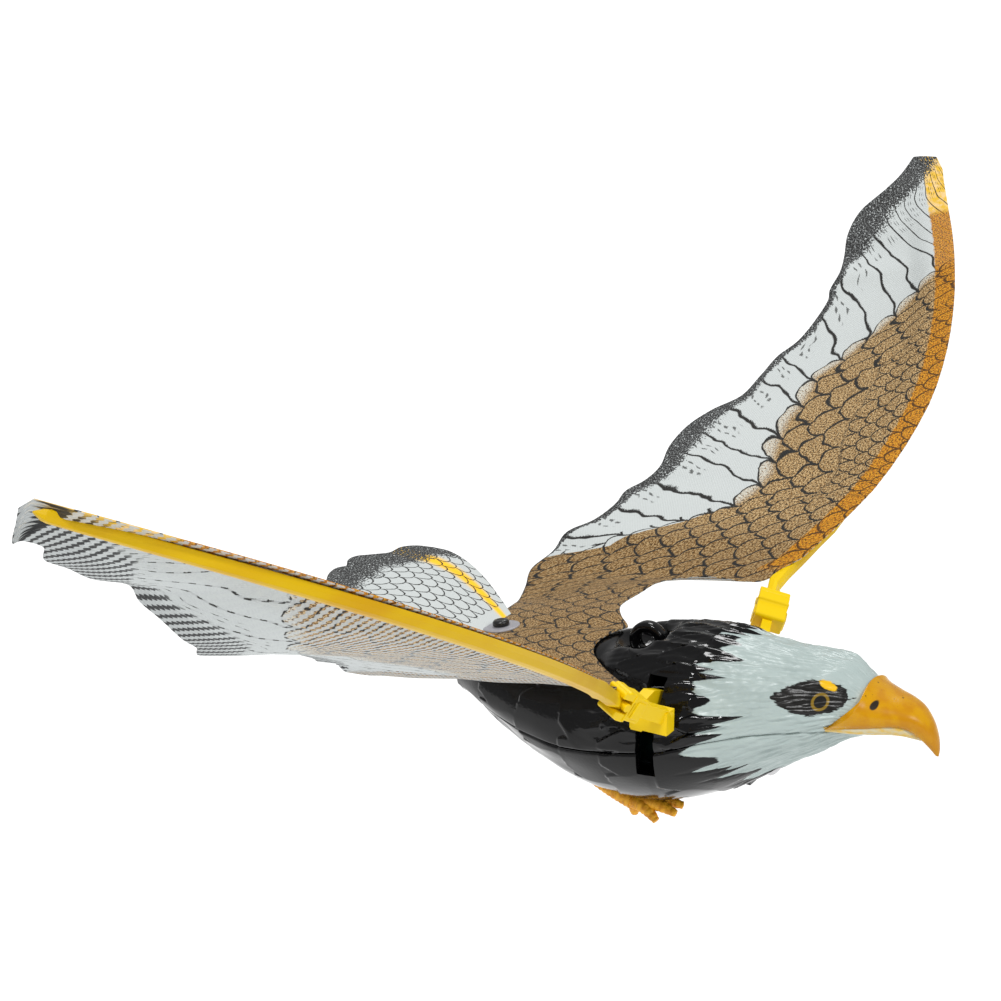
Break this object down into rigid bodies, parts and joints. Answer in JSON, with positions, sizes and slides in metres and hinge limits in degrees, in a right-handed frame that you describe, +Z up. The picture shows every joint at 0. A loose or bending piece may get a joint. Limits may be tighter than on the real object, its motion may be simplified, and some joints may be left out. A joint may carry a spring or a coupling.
{
  "type": "motion wing decoy",
  "caption": "Hanging eagle decoy with flapping film wings on spring spars, a geared motor drive in a glossy two-part body and a printed tail fan.",
  "frame": {"origin": "centre of the hole in the hanging lug on the back", "axes": "+X towards the beak, +Y towards the bird's left wing, +Z up"},
  "size_m": [0.148, 0.3584, 0.121],
  "materials": {
    "shell_gloss": "high gloss moulded, painted head",
    "yellow_nylon": "moulded, satin",
    "wing_film": "printed woven film",
    "tail_film": "printed woven film",
    "vinyl_ochre": "soft moulded vinyl",
    "black_plastic": "moulded, satin",
    "washer_clear": "translucent",
    "gear_nylon": "moulded",
    "frame_plastic": "moulded",
    "motor_steel": "drawn can",
    "steel": "plain",
    "nickel": "nickel plated",
    "cell_wrap": "wrapped"
  },
  "bodies": {
    "root": {"upper_shell": "shell_gloss", "lower_shell": "shell_gloss", "shell_screw_1": "steel", "shell_screw_2": "steel", "shell_screw_3": "steel", "gearbox_rear_plate": "frame_plastic", "gearbox_mid_plate": "frame_plastic", "motor_plate": "frame_plastic", "arm_pivot_pin_left": "steel", "arm_pivot_pin_right": "steel", "crank_shaft": "steel", "compound_shaft": "steel", "motor_can": "motor_steel", "motor_end_cap": "gear_nylon", "cell_left": "cell_wrap", "cell_right": "cell_wrap", "battery_contact_front": "nickel", "battery_contact_rear": "nickel", "switch_body": "black_plastic", "peg_washer": "washer_clear", "tail_peg": "black_plastic", "film_centre": "wing_film", "tail_film": "tail_film"},
    "wing_left": {"wing_arm_left": "yellow_nylon", "clip_left": "yellow_nylon", "spar_left": "yellow_nylon", "wing_film_left": "wing_film"},
    "wing_right": {"wing_arm_right": "yellow_nylon", "clip_right": "yellow_nylon", "spar_right": "yellow_nylon", "wing_film_right": "wing_film"},
    "yoke": {"drive_yoke": "gear_nylon"},
    "crank": {"crank_gear": "gear_nylon"},
    "compound": {"compound_gear": "gear_nylon"},
    "rotor": {"motor_pinion": "gear_nylon", "motor_shaft": "steel"},
    "cover": {"battery_cover": "shell_gloss", "battery_cover_screw": "steel", "leg_left": "vinyl_ochre", "leg_right": "vinyl_ochre"},
    "slider": {"switch_slider": "black_plastic"}
  },
  "joints": [
    {"name": "wing_flap_left", "type": "hinge", "parent": "root", "child": "wing_left", "pos_m": [0.0104, 0.006, -0.0119], "axis": [1, 0, 0], "range_deg": [-45, 0]},
    {"name": "wing_flap_right", "type": "hinge", "parent": "root", "child": "wing_right", "pos_m": [0.0104, -0.006, -0.0119], "axis": [-1, 0, 0], "range_deg": [-45, 0]},
    {"name": "yoke_lift", "type": "slide", "parent": "root", "child": "yoke", "axis": [0, 0, 1], "range_m": [-0.0046, 0]},
    {"name": "crank_spin", "type": "hinge", "parent": "root", "child": "crank", "pos_m": [0.0159, 0, -0.0059], "axis": [1, 0, 0], "continuous": true},
    {"name": "compound_spin", "type": "hinge", "parent": "root", "child": "compound", "pos_m": [0.0159, 0, -0.0149], "axis": [1, 0, 0], "continuous": true},
    {"name": "motor_spin", "type": "hinge", "parent": "root", "child": "rotor", "pos_m": [0.0196, 0, -0.0049], "axis": [1, 0, 0], "continuous": true},
    {"name": "cover_open", "type": "hinge", "parent": "root", "child": "cover", "pos_m": [-0.0326, 0, -0.02815], "axis": [0, 1, 0], "range_deg": [0, 70]},
    {"name": "switch_slide", "type": "slide", "parent": "root", "child": "slider", "axis": [0, 1, 0], "range_m": [0, 0.002]}
  ],
  "couplings": [
    {"joint": "wing_flap_right", "follows": "wing_flap_left", "ratio": 1},
    {"joint": "yoke_lift", "follows": "wing_flap_left", "m_per_rad": 0.0057968},
    {"joint": "compound_spin", "follows": "crank_spin", "ratio": -2.6},
    {"joint": "motor_spin", "follows": "crank_spin", "ratio": 7.8}
  ]
}
